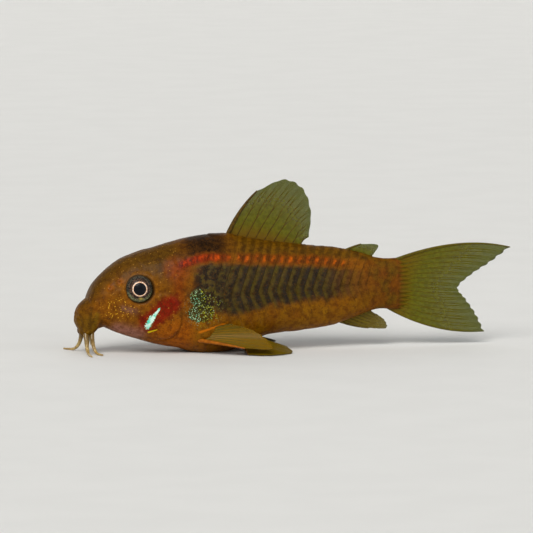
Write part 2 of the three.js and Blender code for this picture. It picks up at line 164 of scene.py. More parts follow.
def mesh_piece(name, points, faces, material, closed=True):
    """A smooth object from points in metres, with its place in its mesh. A closed one faces outwards."""
    mesh = bpy.data.meshes.new(name)
    mesh.from_pydata([tuple(map(float, point)) for point in points], [], [tuple(map(int, f)) for f in faces])
    if closed:
        shell = bmesh.new()
        shell.from_mesh(mesh)
        bmesh.ops.recalc_face_normals(shell, faces=shell.faces)
        shell.to_mesh(mesh)
        shell.free()
    mesh.polygons.foreach_set("use_smooth", [True] * len(mesh.polygons))
    mesh.materials.append(material)
    piece = bpy.data.objects.new(name, mesh)
    bpy.context.scene.collection.objects.link(piece)
    return piece


def grid_faces(rows, columns, closed=False):
    """Quads between rows of points, joined round at the last column when closed."""
    last = columns if closed else columns - 1
    row, column = (way.ravel() for way in np.meshgrid(np.arange(rows - 1), np.arange(last), indexing="ij"))
    beside = (column + 1) % columns
    return np.stack([row * columns + column, row * columns + beside,
                     (row + 1) * columns + beside, (row + 1) * columns + column], axis=1)


card = Finish("pale_card")
grain = card.cloud(CARD_GRAIN, 2)
pale_card = card.surface(
    Base_Color=card.mix(card.ramp(grain, 0.3, 0.7), (0.735, 0.735, 0.72, 1), (0.75, 0.75, 0.735, 1)),
    Roughness=0.85,
)
bend = np.linspace(0, math.pi / 2, FLOOR_STEPS)
sweep = [(-FLOOR_SIDE, 0.0)]
sweep += [(FLOOR_BACK + FLOOR_BEND * math.sin(a), FLOOR_BEND * (1 - math.cos(a))) for a in bend]
sweep += [(FLOOR_BACK + FLOOR_BEND, FLOOR_SIDE)]
floor_points = [(x, y, z) for y, z in sweep for x in (-FLOOR_SIDE, FLOOR_SIDE)]
floor = mesh_piece("floor", floor_points, grid_faces(len(sweep), 2)[:, ::-1], pale_card, closed=False)

# Studio light. A broad soft key from above and ahead, a weak fill from the tail side, and one from behind
# that shines through the fins but isn't mirrored in the wet skin. An even pale sky fills the shadows.
LIGHTS = {
    "key": {"from": (-0.45, -0.75, 0.85), "strength": 2.3, "soft": 38, "tint": (1.0, 0.97, 0.92)},
    "fill": {"from": (0.8, -0.7, 0.35), "strength": 0.55, "soft": 60, "tint": (0.95, 0.98, 1.0)},
    "back": {"from": (0.35, 0.9, 0.7), "strength": 0.9, "soft": 30, "tint": (1.0, 1.0, 0.92)},
}
for name, light in LIGHTS.items():
    lamp = bpy.data.lights.new(name, "SUN")
    lamp.energy = light["strength"]
    lamp.angle = math.radians(light["soft"])
    lamp.color = light["tint"]
    stand = bpy.data.objects.new(name, lamp)
    stand.rotation_euler = (-Vector(light["from"])).to_track_quat("-Z", "Y").to_euler()
    stand.visible_glossy = name != "back"
    bpy.context.scene.collection.objects.link(stand)
SKY_STRENGTH = 0.34
SKY_TINT = (0.95, 0.97, 1.0, 1)
sky = bpy.data.worlds.new("sky")
sky.use_nodes = True
sky_shader = sky.node_tree.nodes["Background"]
sky_shader.inputs["Color"].default_value = SKY_TINT
sky_shader.inputs["Strength"].default_value = SKY_STRENGTH
bpy.context.scene.world = sky

# The skin. One moist skin covers head, gill covers, lips and the two rows of bony plates a side. The plates
# overlap like shingles and meet along the flank in chevrons. It is drawn from the back, belly and width lines
# that the solids are made from, in millimetres behind the snout.
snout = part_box("head")[0].x
LENGTH = (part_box("tail_stem")[1].x - snout) / MM
BACK_LINE = [
    (0, 0.18), (0.048, 0.241), (0.105, 0.286), (0.165, 0.313), (0.215, 0.326), (0.27, 0.342), (0.33, 0.356),
    (0.42, 0.364), (0.46, 0.362), (0.56, 0.344), (0.69, 0.327), (0.815, 0.312), (0.88, 0.297),
    (0.945, 0.278), (1, 0.276),
]
BELLY_LINE = [
    (0, 0.118), (0.03, 0.1), (0.085, 0.07), (0.147, 0.048), (0.21, 0.029), (0.29, 0.012),
    (0.35, -0.005), (0.44, -0.005), (0.5, 0.016), (0.56, 0.041), (0.69, 0.057), (0.8, 0.073),
    (0.87, 0.097), (0.935, 0.117), (1, 0.116),
]
HALF_WIDTH = [
    (0, 0.05), (0.05, 0.07), (0.13, 0.094), (0.2, 0.107), (0.29, 0.118), (0.35, 0.121),
    (0.45, 0.115), (0.56, 0.099), (0.69, 0.078), (0.8, 0.057), (0.9, 0.037), (1, 0.018),
]
NOSE_ROUND = 0.03 * LENGTH
NOSE_HEIGHT = 0.14 * LENGTH
WIDEST = 0.42
ROOF_POWER = 2.05
KEEL_POWER = 2.7
SIDES = 208


def curve_through(pairs):
    """A smooth curve through (place, size) pairs given as shares of the length."""
    xs, ys = np.array(pairs, float).T * LENGTH
    chord = np.diff(ys) / np.diff(xs)
    step = np.diff(xs)
    inner = (chord[:-1] * step[1:] + chord[1:] * step[:-1]) / (step[1:] + step[:-1])
    slope = np.concatenate([chord[:1], inner, chord[-1:]])

    def curve(x):
        x = np.clip(x, xs[0], xs[-1])
        i = np.clip(np.searchsorted(xs, x, side="right") - 1, 0, len(xs) - 2)
        t = (x - xs[i]) / step[i]
        rise = ys[i + 1] - ys[i]
        return (ys[i] + t * step[i] * slope[i]
                + t ** 2 * (3 * rise - step[i] * (2 * slope[i] + slope[i + 1]))
                + t ** 3 * (step[i] * (slope[i] + slope[i + 1]) - 2 * rise))
    return curve


def smooth(low, high, x):
    t = np.clip((x - low) / (high - low), 0, 1)
    return t * t * (3 - 2 * t)


def along(start, end, x):
    """A soft step between two places given as shares of the length."""
    return smooth(start * LENGTH, end * LENGTH, x)


def hump(x, middle, reach):
    """1 at the middle, falling softly to nothing over about twice the reach."""
    return np.exp(-((x - middle) / reach) ** 2)


back_at = curve_through(BACK_LINE)
belly_at = curve_through(BELLY_LINE)
half_at = curve_through(HALF_WIDTH)


def section_at(x):
    near = np.clip(x / NOSE_ROUND, 0, 1)
    rounding = np.sqrt(1 - (1 - near) ** 2)
    top = NOSE_HEIGHT + (back_at(x) - NOSE_HEIGHT) * rounding
    bottom = NOSE_HEIGHT + (belly_at(x) - NOSE_HEIGHT) * rounding
    return top, bottom, half_at(x) * rounding, bottom + WIDEST * (top - bottom)


def skin_at(x, z):
    """How far the skin lies to the side of the middle plane."""
    top, bottom, half, middle = section_at(x)
    above = z > middle
    power = np.where(above, ROOF_POWER, KEEL_POWER)
    share = np.where(above, (z - middle) / (top - middle), (middle - z) / (middle - bottom))
    return half * np.maximum(0, 1 - np.abs(share) ** power) ** (1 / power)


def point_on(x, angle, lift):
    top, bottom, half, middle = section_at(x)
    c, s = np.cos(angle), np.sin(angle)
    power = np.where(s > 0, ROOF_POWER, KEEL_POWER)
    reach = np.where(s > 0, top - middle, middle - bottom)
    y = half * np.sign(c) * np.abs(c) ** (2 / power)
    z = middle + reach * np.sign(s) * np.abs(s) ** (2 / power)
    return np.stack([x + 0 * angle, y + lift * c, z + lift * s], axis=-1)


def to_frame(points):
    """Points in millimetres behind the snout, as metres in the frame."""
    return np.asarray(points, float) * MM + np.array([snout, 0, 0])


# The skin's relief, in millimetres over or under the smooth body. The plates' sizes are as in the solids,
# with a rounder edge to each.
SCUTES = 22
SCUTE_FIRST = 0.325 * LENGTH
SCUTE_LAST = 0.985 * LENGTH
SCUTE_PITCH = (SCUTE_LAST - SCUTE_FIRST) / SCUTES
SCUTE_STEP = 0.17
SCUTE_SLANT = 0.4
CHEVRON_ROUND = 0.3
SCUTE_STATIONS = [0, 0.1, 0.22, 0.36, 0.5, 0.64, 0.76, 0.85, 0.91, 0.95, 0.98]
SEAM_HEIGHT = 0.5
EYE = np.array([0.162 * LENGTH, 0, 0.205 * LENGTH])
EYE_HOLE = 2.5
NOSTRILS = [(0.102 * LENGTH, 0.228 * LENGTH), (0.072 * LENGTH, 0.21 * LENGTH)]
GILL_COVER = {"x": 0.236 * LENGTH, "z": 0.122 * LENGTH, "long": 3.1, "high": 4.5, "lean": 0.12}
SHOULDER = {"x": 0.35 * LENGTH, "z": 0.1 * LENGTH, "long": 1.9, "high": 6.2, "lean": 0.1}
NECK_PLATE = {"x": 0.435 * LENGTH, "long": 2.6, "wide": 2.3}
PLATE_RISE = 0.2  # of the gill cover, the shoulder plate and the neck plate
GILL_SLIT = 0.28
SEAM_GROOVE = 0.1
SEAM_LIP = 0.05
SOCKET_DEPTH = 1.7
EYELID = 0.1
EYE_BAG = 0.06
NOSTRIL_RISE = 0.2
NOSTRIL_DEPTH = 0.28
CROWN_GROOVE = 0.14
UNEVEN = [(0.35, 0.12), (1.1, 0.05), (3, 0.012)]  # soft lumps, as how many in a millimetre and how deep
UNEVEN_SHARE = 0.8
TAIL_SHEATH = 3.4  # how far the skin runs out over the roots of the tail's rays
SHEATH_TAPER = 1.4
SHEATH_EDGE = 0.03
SCALLOPS = 12
SCALLOP_DEPTH = 0.22
SHEATH_FAN = 0.25
NOSE_RINGS = 20
HEAD_RINGS = 92
STEM_RINGS = 6
SHEATH_RINGS = 12

nose_turn = np.linspace(0.08, math.pi / 2, NOSE_RINGS)
stations = [(NOSE_ROUND * (1 - math.cos(turn)), 0.0, 0) for turn in nose_turn]
stations += [(x, 0.0, 0) for x in np.linspace(NOSE_ROUND, SCUTE_FIRST, HEAD_RINGS)[1:-1]]
for plate in range(SCUTES):
    stations += [(SCUTE_FIRST + (plate + u) * SCUTE_PITCH, u, plate + 1) for u in SCUTE_STATIONS]
stations += [(x, 0.0, SCUTES + 1) for x in np.linspace(SCUTE_LAST, LENGTH, STEM_RINGS)]
stations += [(LENGTH + out, 0.0, SCUTES + 1) for out in np.linspace(0, TAIL_SHEATH, SHEATH_RINGS)[1:]]
station_x, station_u, station_plate = np.array(stations).T
x0 = station_x[:, None] + np.zeros(SIDES)
phase = station_u[:, None] + np.zeros(SIDES)
plate_number = station_plate[:, None] + np.zeros(SIDES)
angle = np.linspace(0, 2 * math.pi, SIDES, endpoint=False)[None, :] + np.zeros((len(stations), 1))

first_guess = point_on(x0, angle, 0)
top, bottom, _, middle = section_at(x0)
seam = bottom + SEAM_HEIGHT * (top - bottom)
armour = smooth(SCUTE_FIRST - 2, SCUTE_FIRST + 5, x0) * (1 - smooth(LENGTH - 9, LENGTH, x0))
from_seam = first_guess[..., 2] - seam
bent = np.sqrt(from_seam ** 2 + CHEVRON_ROUND ** 2) - CHEVRON_ROUND
x = x0 + SCUTE_SLANT * armour * bent
height = (first_guess[..., 2] - bottom) / (top - bottom)
skin = point_on(x, angle, 0)
z = skin[..., 2]


def beyond(plate, x, z):
    """How far out from a leaning oval plate a point lies: 1 on its edge."""
    dx, dz = x - plate["x"], z - plate["z"]
    c, s = math.cos(plate["lean"]), math.sin(plate["lean"])
    return np.hypot((dx * c + dz * s) / plate["long"], (dz * c - dx * s) / plate["high"])


plated = smooth(0.1, 0.34, height)
shingle = smooth(-0.1, 0.85, phase) * (1 - smooth(0.93, 1.0, phase))
lift = SCUTE_STEP * shingle * plated * smooth(0, 1.5, plate_number) * (1 - smooth(LENGTH - 7, LENGTH - 1, x))
lift *= 1 - 0.8 * smooth(0.8, 0.97, height)
lift -= SEAM_GROOVE * armour * hump(from_seam, 0, 0.35)
lift += SEAM_LIP * armour * hump(from_seam, 0, 1.1) * shingle
on_side = smooth(0.5, 2.0, np.abs(skin[..., 1]))
cover = beyond(GILL_COVER, x, z)
behind = smooth(-1.5, 0.8, x - GILL_COVER["x"])
lift += on_side * PLATE_RISE * (1 - smooth(0.82, 1.0, cover)) * smooth(-3, 0, x - GILL_COVER["x"])
lift -= on_side * GILL_SLIT * hump(cover, 1.06, 0.05) * behind
shoulder = beyond(SHOULDER, x, z)
lift += on_side * PLATE_RISE * (1 - smooth(0.88, 1.05, shoulder)) * smooth(SCUTE_FIRST - 1.2, SCUTE_FIRST, x)
saddle = np.hypot((x - NECK_PLATE["x"]) / NECK_PLATE["long"], skin[..., 1] / NECK_PLATE["wide"])
lift += PLATE_RISE * (1 - smooth(0.85, 1.05, saddle)) * (z > middle)


def away_from(spot_x, spot_z):
    """How far each point of the skin lies from a spot on its side, the same on either side."""
    out = float(skin_at(spot_x, spot_z))
    return np.sqrt((x - spot_x) ** 2 + (np.abs(skin[..., 1]) - out) ** 2 + (z - spot_z) ** 2)


from_eye = away_from(EYE[0], EYE[2])
lift += EYELID * hump(from_eye, 3.0, 0.4) + EYE_BAG * hump(from_eye, 3.9, 0.35) * (z < EYE[2])
lift -= SOCKET_DEPTH * (1 - smooth(EYE_HOLE - 0.3, EYE_HOLE + 0.08, from_eye))
nostril_rim, nostril_pit_shade = np.zeros(x.shape), np.zeros(x.shape)
for nostril_x, nostril_z in NOSTRILS:
    away = away_from(nostril_x, nostril_z)
    lift += NOSTRIL_RISE * hump(away, 0, 0.62)
    lift -= NOSTRIL_DEPTH * (1 - smooth(0.05, 0.38, away))
    nostril_rim = np.maximum(nostril_rim, hump(away, 0.1, 0.5))
    nostril_pit_shade = np.maximum(nostril_pit_shade, 1 - smooth(0.05, 0.34, away))
crown_groove = hump(skin[..., 1], 0, 0.45) * along(0.1, 0.14, x) * (z > middle)
lift -= CROWN_GROOVE * crown_groove * (1 - along(0.24, 0.28, x))
head_share = 1 - smooth(SCUTE_FIRST - 4, SCUTE_FIRST, x)
skin = point_on(x, angle, lift)
for row, column in np.ndindex(x.shape):
    place = Vector(skin[row, column])
    grainy = sum(noise.noise(place * often) * deep for often, deep in UNEVEN)
    skin[row, column, 1] += grainy * math.cos(angle[row, column]) * UNEVEN_SHARE
    skin[row, column, 2] += grainy * math.sin(angle[row, column]) * UNEVEN_SHARE

sheath = np.clip((x - LENGTH) / TAIL_SHEATH, 0, 1)
skin[..., 1] *= (1 - sheath) ** SHEATH_TAPER * (1 - SHEATH_EDGE) + SHEATH_EDGE
scallop = SCALLOP_DEPTH - SCALLOP_DEPTH * np.cos(2 * math.pi * SCALLOPS * height)
skin[..., 0] -= TAIL_SHEATH * sheath * (scallop + SHEATH_FAN * (2 * height - 1) ** 2)

# The muzzle. The snout's lower front is drawn out, away from a point inside the head, to fleshy lips of three
# round lumps that melt into one another. Soft folds run round them, and the mouth opens underneath.
LIP_HEART = np.array([5.5, 0, 9.4])
LIPS = [
    {"middle": (1.5, 0, 7.3), "size": (3.15, 3.3, 3.0)},
    {"middle": (0.5, 0, 5.6), "size": (1.85, 3.0, 2.4)},
    {"middle": (0.55, 0, 4.3), "size": (1.3, 2.8, 1.3)},
]
LIP_BLEND = 1.7
LIP_FOLD = 0.32
LIP_CREASE = 0.1
MUZZLE_BACK = 0.12 * LENGTH
MOUTH_DEPTH = 0.7

offset = skin - LIP_HEART
reach = np.linalg.norm(offset, axis=-1)
direction = offset / reach[..., None]
for lip in LIPS:
    size = np.array(lip["size"])
    start = (LIP_HEART - np.array(lip["middle"])) / size
    run = direction / size
    a = (run ** 2).sum(-1)
    b = (run * start).sum(-1)
    c = (start ** 2).sum() - 1
    inside = b ** 2 - a * c
    hit = np.where(inside > 0, (-b + np.sqrt(np.maximum(inside, 0))) / a, 0)
    hit = np.where(x < MUZZLE_BACK, hit, 0)
    blend = np.clip(0.5 + 0.5 * (hit - reach) / LIP_BLEND, 0, 1)
    reach = reach * (1 - blend) + hit * blend + LIP_BLEND * blend * (1 - blend) * 0.5
lip_share = (1 - smooth(1.2, 3.2, (LIP_HEART + direction * reach[..., None])[..., 0])) * (x < MUZZLE_BACK)
lip_share *= 1 - smooth(7.5, 10, skin[..., 2])
for place in map(tuple, np.argwhere(lip_share > 0.01)):
    spot_y, spot_z = direction[place][1] * reach[place], direction[place][2] * reach[place]
    reach[place] += lip_share[place] * (LIP_FOLD * noise.noise(Vector((spot_y * 1.5, spot_z * 0.45, 3)))
                                        + LIP_CREASE * noise.noise(Vector((spot_y * 3.4, spot_z * 1.2, 8))))
skin = LIP_HEART + direction * reach[..., None]
mouth_line = np.abs(skin[..., 0] - 0.6 - 0.05 * skin[..., 1] ** 2)
mouth = (1 - smooth(0.1, 0.32, mouth_line)) * (1 - smooth(1.9, 2.4, np.abs(skin[..., 1])))
mouth *= (skin[..., 2] < 4.6) * (x < MUZZLE_BACK)
skin[..., 2] += MOUTH_DEPTH * mouth
skin[..., 2] = np.maximum(skin[..., 2], 0)

# Where each colour lies, as masks on the skin's points: the orange stripe over a dark barred flank, the red
# and green marks behind the cheek, and the paler belly. Places are in millimetres behind the snout and up.
x, z = skin[..., 0], skin[..., 2]


def rough(size, seed, depth):
    """Soft noise over the skin's points, for ragged borders."""
    values = np.empty(x.shape)
    for place in np.ndindex(x.shape):
        point = Vector(skin[place]) / size + Vector((seed, seed, seed))
        values[place] = noise.noise(point) + 0.5 * noise.noise(point * 2.1)
    return depth * values


STRIPE_LINE = curve_through([
    (0.2, 0.25), (0.28, 0.273), (0.293, 0.278), (0.332, 0.291), (0.382, 0.298), (0.42, 0.296), (0.5, 0.2915),
    (0.59, 0.287), (0.65, 0.283), (0.717, 0.279), (0.798, 0.27), (0.9, 0.258),
])
DARK_FLOOR = curve_through([
    (0.3, 0.15), (0.36, 0.14), (0.42, 0.131), (0.453, 0.122), (0.51, 0.135), (0.57, 0.146), (0.63, 0.15),
    (0.68, 0.157), (0.75, 0.161), (0.815, 0.165), (0.9, 0.17),
])
ragged = rough(1.1, 3, 0.7)
above_stripe = z - STRIPE_LINE(x)
stripe = hump(above_stripe + 0.35 * ragged, 0.1, 0.95) * along(0.265, 0.3, x)
stripe *= 1 - along(0.74, 0.9, x)
stripe *= 1 - 0.75 * hump(x, 0.462 * LENGTH, 1.0)
red_end = 1 - along(0.3, 0.55, x)
flank_front = 0.318 * LENGTH + 0.25 * np.maximum(0, z - 12)
flank = smooth(-1.1, 0.9, z - DARK_FLOOR(x) + ragged) * (1 - smooth(-1.5, -0.5, above_stripe + 0.4 * ragged))
flank *= smooth(-1.3, 1.5, x - flank_front + 1.2 * ragged)
flank *= 1 - 0.8 * along(0.74, 0.92, x)
nape = smooth(0.5, 1.5, above_stripe + 0.5 * ragged) * along(0.27, 0.34, x)
rump = nape * along(0.42, 0.5, x)
nape *= 1 - along(0.4, 0.5, x)
belly = 1 - smooth(-1.4, 0.8, z - DARK_FLOOR(x) + 0.6 * ragged)
belly *= along(0.3, 0.36, x)
below_back = back_at(x) - z
crown = np.maximum(smooth(0.16 * LENGTH, 0.3 * LENGTH, z + 0.06 * (x - 10)), 1 - smooth(0.2, 4.6, below_back))
crown *= head_share


def along_line(start, end, thick_start, thick_end):
    """A mask for a tapering streak on the side of the fish, between two (x, z) points."""
    (x1, z1), (x2, z2) = start, end
    span = math.hypot(x2 - x1, z2 - z1)
    run = ((x - x1) * (x2 - x1) + (z - z1) * (z2 - z1)) / span ** 2
    off = np.abs((x - x1) * (z2 - z1) - (z - z1) * (x2 - x1)) / span
    thick = thick_start + (thick_end - thick_start) * np.clip(run, 0, 1)
    over = np.maximum(0, np.abs(run - 0.5) - 0.5) * span
    return np.exp(-(np.hypot(off, over) / thick) ** 2)


def spot(middle, long, high):
    """A mask that is 1 at a place on the side and fades to nothing at an oval's edge."""
    return np.maximum(0, 1 - np.hypot((x - middle[0]) / long, (z - middle[1]) / high) ** 2)


MASKS = {
    "stripe": stripe, "red_end": red_end, "flank": flank, "nape": nape, "rump": rump, "belly": belly,
    "crown": crown,
    "gill_red": along_line((11.0, 6.1), (15.3, 9.6), 1.7, 1.7),
    "streak": np.maximum(along_line((11.05, 5.4), (11.8, 7.0), 0.54, 0.54),
                         along_line((11.6, 6.7), (13.2, 8.8), 0.44, 0.14)),
    "dash": along_line((11.3, 4.25), (12.9, 4.78), 0.19, 0.07),
    "patch": np.maximum(spot((20.4, 10.7), 1.75, 1.8), spot((20.9, 7.8), 2.9, 2.0)),
    "scatter": spot((21.6, 8.6), 4.2, 4.2),
    "patch_rear": smooth(20.2, 21.8, x),
    # a painted highlight: a bright line on the skin along the pectoral fin's spine
    "ridge_highlight": along_line((20.7, 4.2), (26.0, 5.9), 0.28, 0.12),
    "throat": along_line((5.6, 4.9), (9.6, 3.9), 1.0, 1.1),
    "under_eye": along_line((6.6, 8.8), (8.7, 8.3), 0.6, 0.6),
    "gold": hump(x, 5.8, 3.2) * hump(z, 8.6, 2.0),
    "lip_skin": (1 - smooth(0.8, 2.6, x)) * (1 - smooth(6, 9.4, z)),
    # painted shade in two of the lips' folds
    "lip_fold_shade": np.maximum(along_line((0.9, 8.6), (0.5, 5.0), 0.3, 0.3),
                           along_line((2.9, 6.4), (2.5, 4.0), 0.25, 0.25)),
    "lip_band": along_line((1.9, 7.6), (1.5, 3.6), 0.45, 0.4),
    # painted shade in the eye socket's crevice
    "socket": 1 - smooth(EYE_HOLE - 0.1, EYE_HOLE + 0.45, from_eye),
    "around_eye": hump(from_eye, 3.1, 0.5),
    "glow": np.maximum(spot((16.6, 15.8), 3.0, 3.0), 0.8 * along_line((16.9, 14.8), (16.8, 9.5), 1.5, 1.1)),
    "breast": spot((16.8, 3.6), 6.5, 4.2),
    "nostril_rim": nostril_rim,
    "nostril_pit_shade": nostril_pit_shade,
    # painted shade in the mouth's slit
    "mouth": mouth,
    "plate_share": phase + 0.1 * ragged,
    "head_here": head_share * (1 - lip_share),
    "barred": smooth(0.36 * LENGTH, 0.5 * LENGTH, x + 2 * ragged),
    "beside": np.clip(above_stripe / 2.4 + 0.5, 0, 1),
    # painted shade in the gill slit behind the cover
    "cover_edge_shade": on_side * hump(cover, 1.03, 0.09) * behind,
    "sheath": sheath,
    "shade": np.clip(0.5 + rough(2.4, 9, 0.45), 0, 1),
    # painted shade in the seam between the plate rows and under each plate's front edge
    "groove_shade": armour * np.maximum(hump(from_seam, 0, 0.3), plated * (1 - smooth(0.0, 0.1, phase))),
    "tail_root": along(0.84, 0.97, x),
}

hide = Finish("catfish_skin")
mottle = hide.cloud(0.9 * MM, 4)
fine = hide.cloud(0.26 * MM, 3)
grain = hide.cloud(0.13 * MM, 2)
jitter = hide.times(hide.sum("SUBTRACT", mottle, 0.5), 0.9)
wide = hide.times(hide.sum("SUBTRACT", hide.cloud(2.2 * MM, 2), 0.5), 0.8)


def wandering(dark, light):
    """A tone that wanders between two colours over the skin."""
    return hide.mix(hide.mask("shade"), dark, light)


def painted(under, layers):
    """A tone with more laid over it in turn, each as a mask's name, a strength and a colour."""
    for mask_name, strength, paint in layers:
        under = hide.mix(hide.times(hide.mask(mask_name), strength), under, paint)
    return under


# The ground colours: each plate on the flank is a dark bar with a paler gap behind it.
share = hide.sum("ADD", hide.mask("plate_share"), hide.times(jitter, 0.55))
bars = hide.times(hide.ramp(share, 0.22, 0.66), hide.ramp(share, 1.12, 0.84))
rear_bars = hide.times(bars, hide.ramp(wide, -0.3, 0.1, 0.6, 1))
bars = hide.mix(hide.mask("barred"), hide.ramp(mottle, 0.36, 0.56), rear_bars)
tone = painted(wandering((112, 66, 4), (136, 80, 6)), [
    ("crown", 0.85, (78, 54, 4)),
    ("glow", 1, (128, 57, 4)),
    ("breast", 1, (158, 84, 4)),
    ("belly", 1, wandering((118, 66, 2), (136, 92, 4))),
    ("flank", 1, hide.mix(bars, wandering((72, 62, 12), (76, 61, 31)), (41, 35, 28))),
    ("nape", 1, hide.mix(bars, (56, 32, 4), (36, 20, 3))),
    ("rump", 1, hide.mix(hide.times(bars, 0.7), (108, 72, 6), (66, 44, 4))),
    ("tail_root", 1, hide.mix(hide.ramp(wide, -0.15, 0.15), (98, 68, 3), (112, 62, 3))),
])

# The stripe: a bright dash on every plate, redder and streaky towards the head.
across = hide.times(hide.ramp(hide.mask("beside"), 0.1, 0.5), hide.ramp(hide.mask("beside"), 0.98, 0.56))
dashes = hide.times(hide.ramp(share, 0.2, 0.4), hide.ramp(share, 0.74, 0.54))
dashes = hide.times(hide.times(dashes, across), hide.ramp(wide, -0.22, 0.12, 0.25, 1))
streaks = hide.ramp(hide.cloud(0.45 * MM, 2, (1, 1, 0.22)), 0.45, 0.58)
dashes = hide.times(dashes, hide.sum("MAXIMUM", streaks, 0.7))
thin_dashes = hide.times(hide.times(streaks, across), hide.times(hide.mask("red_end"), 0.5))
dashes = hide.sum("MAXIMUM", dashes, thin_dashes)
dash_tone = hide.mix(hide.mask("red_end"), (198, 92, 5), (208, 64, 4))
stripe_tone = hide.mix(hide.mask("red_end"), (104, 54, 3), (102, 28, 3))
stripe_tone = hide.mix(dashes, stripe_tone, dash_tone)
tone = hide.mix(hide.ramp(hide.mask("stripe"), 0.08, 0.85), tone, stripe_tone)

# The head's marks, with painted shade in the gill slit and the lips' folds, then the mottling and the fine
# grain over all of it, and painted shade in the plates' seams.
# Painted shade along the gill cover's rear edge, in the slit behind it.
tone = painted(tone, [("cover_edge_shade", 0.4, (60, 34, 6))])
red_edge = hide.sum("ADD", hide.mask("gill_red"), hide.times(jitter, 0.9))
tone = hide.mix(hide.times(hide.ramp(red_edge, 0.12, 0.66), 0.92), tone, (124, 18, 2))
tone = painted(tone, [
    ("throat", 0.6, (176, 122, 112)),
    ("under_eye", 0.4, (128, 96, 92)),
    ("lip_skin", 0.8, wandering((92, 66, 5), (116, 84, 6))),
    ("lip_band", 0.5, (146, 118, 20)),
    # painted shade in the lips' folds
    ("lip_fold_shade", 0.6, (52, 36, 4)),
    ("around_eye", 0.35, (150, 92, 14)),
    ("nostril_rim", 0.75, (166, 88, 6)),
])
tone = hide.mix(hide.ramp(mottle, 0.4, 0.68), tone, (0.62, 0.56, 0.48, 1), "MULTIPLY")
tone = hide.mix(hide.ramp(fine, 0.53, 0.68, 0, 0.6), tone, (60, 32, 2))
tone = hide.mix(hide.ramp(grain, 0.6, 0.72, 0, 0.25), tone, (186, 118, 20))
# Painted shade: darker in the seam between the plate rows and at each plate's front, under the plate before
# it.
tone = painted(tone, [("groove_shade", 0.18, (40, 28, 8))])


def flecks_of(cells, far, near, few, many):
    """Round flecks in some of the cells, which their random numbers choose."""
    from_middle, pick = cells
    return hide.times(hide.ramp(from_middle, far, near), hide.ramp(pick, few, many))


# Gold flecks on the cheek and dimmer ones all over the head.
gold_fleck = flecks_of(hide.cells(0.3 * MM), 0.36, 0.2, 0.5, 0.62)
gold_fleck = hide.times(gold_fleck, hide.ramp(hide.mask("gold"), 0.15, 0.6))
tone = hide.mix(gold_fleck, tone, (232, 176, 44))
dim_fleck = hide.times(flecks_of(hide.cells(0.5 * MM, 5), 0.3, 0.14, 0.6, 0.7), hide.mask("head_here"))
tone = hide.mix(hide.times(dim_fleck, 0.45), tone, (190, 136, 50))
# Painted shade in the nostrils' pits.
tone = painted(tone, [("nostril_pit_shade", 0.6, (60, 34, 6))])

# The glittering patch behind the gill cover, green in front and gold behind.
from_middle, pick = hide.cells(0.25 * MM, 7)
gold_share = hide.sum("ADD", hide.ramp(pick, 0.2, 0.8, -0.3, 0.5), hide.mask("patch_rear"))
glitter_tone = hide.mix(hide.ramp(gold_share, 0.3, 0.7), (116, 190, 146), (176, 176, 26))
glitter_tone = hide.mix(hide.ramp(fine, 0.52, 0.62), glitter_tone, (206, 232, 190))
in_patch = hide.ramp(hide.sum("ADD", hide.mask("patch"), hide.times(jitter, 0.7)), 0.08, 0.45)
strewn = hide.times(hide.mask("scatter"), hide.ramp(pick, 0.52, 0.6))
glitter_here = hide.sum("MAXIMUM", in_patch, hide.times(strewn, 0.7))
glitter_here = hide.times(glitter_here, hide.ramp(from_middle, 0.48, 0.26))
glitter_here = hide.times(glitter_here, hide.ramp(pick, 0.34, 0.46, 0.12, 1))
tone = hide.mix(hide.times(in_patch, 0.8), tone, (42, 42, 10))
tone = hide.mix(glitter_here, tone, glitter_tone)

# The pale streak on the gill cover, the yellow dash under it, a painted highlight along the pectoral spine,
# and painted shade in the holes of the eyes and the mouth.
frayed = hide.times(hide.sum("SUBTRACT", fine, 0.5), 1.8)
frayed = hide.times(frayed, hide.ramp(hide.mask("streak"), 0.0, 0.3))
streak_edge = hide.sum("ADD", hide.mask("streak"), frayed)
in_streak = hide.ramp(streak_edge, 0.4, 0.56)
streak_tone = hide.mix(hide.ramp(mottle, 0.38, 0.6), (92, 226, 196), (222, 255, 240))
tone = hide.mix(hide.ramp(streak_edge, 0.22, 0.4, 0, 0.5), tone, (150, 150, 60))
tone = hide.mix(in_streak, tone, streak_tone)
dash_edge = hide.sum("ADD", hide.mask("dash"), hide.times(jitter, 0.5))
tone = hide.mix(hide.ramp(dash_edge, 0.3, 0.65), tone, (206, 178, 12))
# A painted highlight: a bright orange line on the skin where light catches the pectoral fin's spine.
tone = hide.mix(hide.ramp(hide.mask("ridge_highlight"), 0.15, 0.95, 0, 0.9), tone, (204, 112, 8))
# Painted shade in the eye socket's crevice round the ball.
tone = painted(tone, [("socket", 0.9, (28, 22, 14))])
tone = hide.mix(hide.ramp(hide.mask("sheath"), 0.0, 0.8), tone, (100, 82, 5))
# Painted shade in the slit of the mouth under the lips.
tone = painted(tone, [("mouth", 1, (30, 14, 8))])
grit = hide.sum("ADD", hide.times(fine, 0.6), hide.times(hide.cells(0.3 * MM, 2)[0], 0.4))
catfish_skin = hide.surface(
    Base_Color=tone,
    Roughness=hide.ramp(fine, 0.3, 0.7, 0.34, 0.52),
    Metallic=hide.times(hide.sum("MAXIMUM", in_streak, glitter_here), 0.3),
    Specular_IOR_Level=0.05,
    Coat_Weight=0.05,
    Coat_Roughness=0.22,
    Normal=hide.bump(grit, 0.045 * MM),
)


def set_mask(piece, name, values):
    """Values on a piece's points, under a name, for its material to read."""
    layer = piece.data.attributes.new(name, "FLOAT", "POINT")
    layer.data.foreach_set("value", values)


